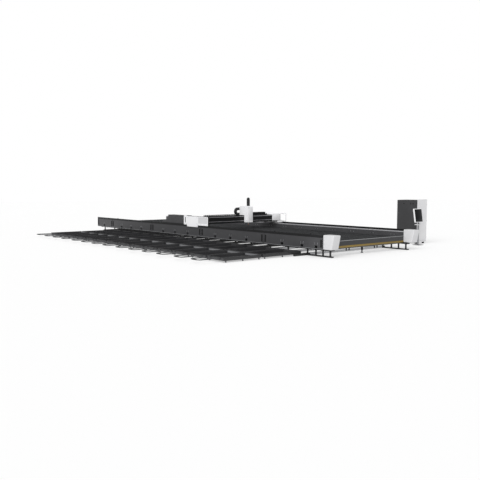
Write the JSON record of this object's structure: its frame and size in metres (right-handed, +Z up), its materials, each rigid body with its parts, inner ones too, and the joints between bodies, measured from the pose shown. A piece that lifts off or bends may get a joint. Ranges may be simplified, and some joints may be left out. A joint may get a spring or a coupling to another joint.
{
  "type": "gantry fiber laser cutting machine",
  "caption": "Floor-standing gantry sheet cutter: two long dark box beams with a slat bed between, a travelling crossbeam with a white cutting head, pull-out scrap trays, cabinet and console.",
  "frame": {"origin": "underside of the middle front levelling foot, on the floor, on the bed's centre line", "axes": "+X across the bed to the cabinet and console side, +Y along the bed from the front to the back, +Z up; drawers pulled out to -X"},
  "size_m": [11.5649, 17.1702, 1.9063],
  "materials": {
    "bed_paint": "dark grey textured paint on welded steel",
    "black_steel": "black painted floor frame",
    "slat_steel": "bare hot rolled steel slats, dulled",
    "rail_steel": "ground linear guide and rack",
    "dark_paint": "near black satin paint",
    "white_paint": "white powder coat on folded sheet",
    "drawer_steel": "dark paint on folded sheet trays",
    "head_metal": "machined aluminium",
    "chain_plastic": "black nylon cable chain",
    "copper": "turned copper nozzle",
    "cabinet_paint": "dark grey powder coat",
    "grey_paint": "light grey powder coat",
    "console_shell": "white moulded and coated console shell",
    "screen_glass": "dark touch screen front",
    "button_dark": "dark mushroom button"
  },
  "bodies": {
    "bed": {"left_bed_beam_1": "bed_paint", "left_bed_beam_2": "bed_paint", "left_bed_beam_3": "bed_paint", "left_bed_beam_4": "bed_paint", "left_bed_beam_5": "bed_paint", "right_bed_beam_1": "bed_paint", "right_bed_beam_2": "bed_paint", "right_bed_beam_3": "bed_paint", "right_bed_beam_4": "bed_paint", "right_bed_beam_5": "bed_paint", "floor_frame_1": "black_steel", "floor_frame_2": "black_steel", "floor_frame_3": "black_steel", "floor_frame_4": "black_steel", "floor_frame_5": "black_steel", "slat_grate": "slat_steel", "left_guide_rail": "rail_steel", "left_outer_guard": "dark_paint", "left_end_cap": "white_paint", "right_guide_rail": "rail_steel", "right_outer_guard": "dark_paint", "right_end_cap": "white_paint", "front_skirt": "dark_paint", "cabinet_body": "cabinet_paint", "laser_source": "grey_paint", "console_stand": "grey_paint", "keyboard_shelf": "grey_paint"},
    "drawer_01": {"scrap_drawer_01": "drawer_steel"},
    "drawer_02": {"scrap_drawer_02": "drawer_steel"},
    "drawer_03": {"scrap_drawer_03": "drawer_steel"},
    "drawer_04": {"scrap_drawer_04": "drawer_steel"},
    "drawer_05": {"scrap_drawer_05": "drawer_steel"},
    "drawer_06": {"scrap_drawer_06": "drawer_steel"},
    "drawer_07": {"scrap_drawer_07": "drawer_steel"},
    "drawer_08": {"scrap_drawer_08": "drawer_steel"},
    "drawer_09": {"scrap_drawer_09": "drawer_steel"},
    "drawer_10": {"scrap_drawer_10": "drawer_steel"},
    "drawer_11": {"scrap_drawer_11": "drawer_steel"},
    "drawer_12": {"scrap_drawer_12": "drawer_steel"},
    "drawer_13": {"scrap_drawer_13": "drawer_steel"},
    "drawer_14": {"scrap_drawer_14": "drawer_steel"},
    "gantry": {"crossbeam": "dark_paint", "left_truck": "dark_paint", "right_truck": "white_paint", "left_truck_cover": "white_paint", "rear_cable_box": "dark_paint", "right_truck_cover": "white_paint", "right_side_plate": "white_paint", "x_rail": "rail_steel", "chain_trough": "dark_paint"},
    "carriage": {"carriage_plate": "head_metal", "head_housing": "white_paint", "chain_bend": "chain_plastic", "chain_tower": "chain_plastic"},
    "head": {"cutting_head": "head_metal", "nozzle": "copper"},
    "door": {"cabinet_door": "grey_paint"},
    "screen": {"console_housing": "console_shell", "touch_screen": "screen_glass"},
    "button": {"stop_button": "button_dark"}
  },
  "joints": [
    {"name": "drawer_01_slide", "type": "slide", "parent": "bed", "child": "drawer_01", "axis": [1, 0, 0], "range_m": [0, 4]},
    {"name": "drawer_02_slide", "type": "slide", "parent": "bed", "child": "drawer_02", "axis": [1, 0, 0], "range_m": [0, 4]},
    {"name": "drawer_03_slide", "type": "slide", "parent": "bed", "child": "drawer_03", "axis": [1, 0, 0], "range_m": [0, 4]},
    {"name": "drawer_04_slide", "type": "slide", "parent": "bed", "child": "drawer_04", "axis": [1, 0, 0], "range_m": [0, 4]},
    {"name": "drawer_05_slide", "type": "slide", "parent": "bed", "child": "drawer_05", "axis": [1, 0, 0], "range_m": [0, 4]},
    {"name": "drawer_06_slide", "type": "slide", "parent": "bed", "child": "drawer_06", "axis": [1, 0, 0], "range_m": [0, 4]},
    {"name": "drawer_07_slide", "type": "slide", "parent": "bed", "child": "drawer_07", "axis": [1, 0, 0], "range_m": [0, 4]},
    {"name": "drawer_08_slide", "type": "slide", "parent": "bed", "child": "drawer_08", "axis": [1, 0, 0], "range_m": [0, 4]},
    {"name": "drawer_09_slide", "type": "slide", "parent": "bed", "child": "drawer_09", "axis": [1, 0, 0], "range_m": [0, 4]},
    {"name": "drawer_10_slide", "type": "slide", "parent": "bed", "child": "drawer_10", "axis": [1, 0, 0], "range_m": [0, 4]},
    {"name": "drawer_11_slide", "type": "slide", "parent": "bed", "child": "drawer_11", "axis": [1, 0, 0], "range_m": [0, 4]},
    {"name": "drawer_12_slide", "type": "slide", "parent": "bed", "child": "drawer_12", "axis": [1, 0, 0], "range_m": [0, 4]},
    {"name": "drawer_13_slide", "type": "slide", "parent": "bed", "child": "drawer_13", "axis": [1, 0, 0], "range_m": [0, 4]},
    {"name": "drawer_14_slide", "type": "slide", "parent": "bed", "child": "drawer_14", "axis": [1, 0, 0], "range_m": [0, 4]},
    {"name": "gantry_travel", "type": "slide", "parent": "bed", "child": "gantry", "axis": [0, 1, 0], "range_m": [-6.3, 6.5]},
    {"name": "carriage_travel", "type": "slide", "parent": "gantry", "child": "carriage", "axis": [1, 0, 0], "range_m": [-1.6, 1.35]},
    {"name": "head_travel", "type": "slide", "parent": "carriage", "child": "head", "axis": [0, 0, 1], "range_m": [-0.2, 0.05]},
    {"name": "door_hinge", "type": "hinge", "parent": "bed", "child": "door", "pos_m": [5.04, 0.7347, 0.95], "axis": [0, 0, 1], "range_deg": [0, 110]},
    {"name": "screen_tilt", "type": "hinge", "parent": "bed", "child": "screen", "pos_m": [4.12, 0.5, 1.03], "axis": [1, 0, 0], "range_deg": [-10, 9]},
    {"name": "stop_button_press", "type": "slide", "parent": "bed", "child": "button", "axis": [0, 0, -1], "range_m": [0, 0.006], "stiffness_N_per_m": 300, "springref_m": -0.004}
  ]
}
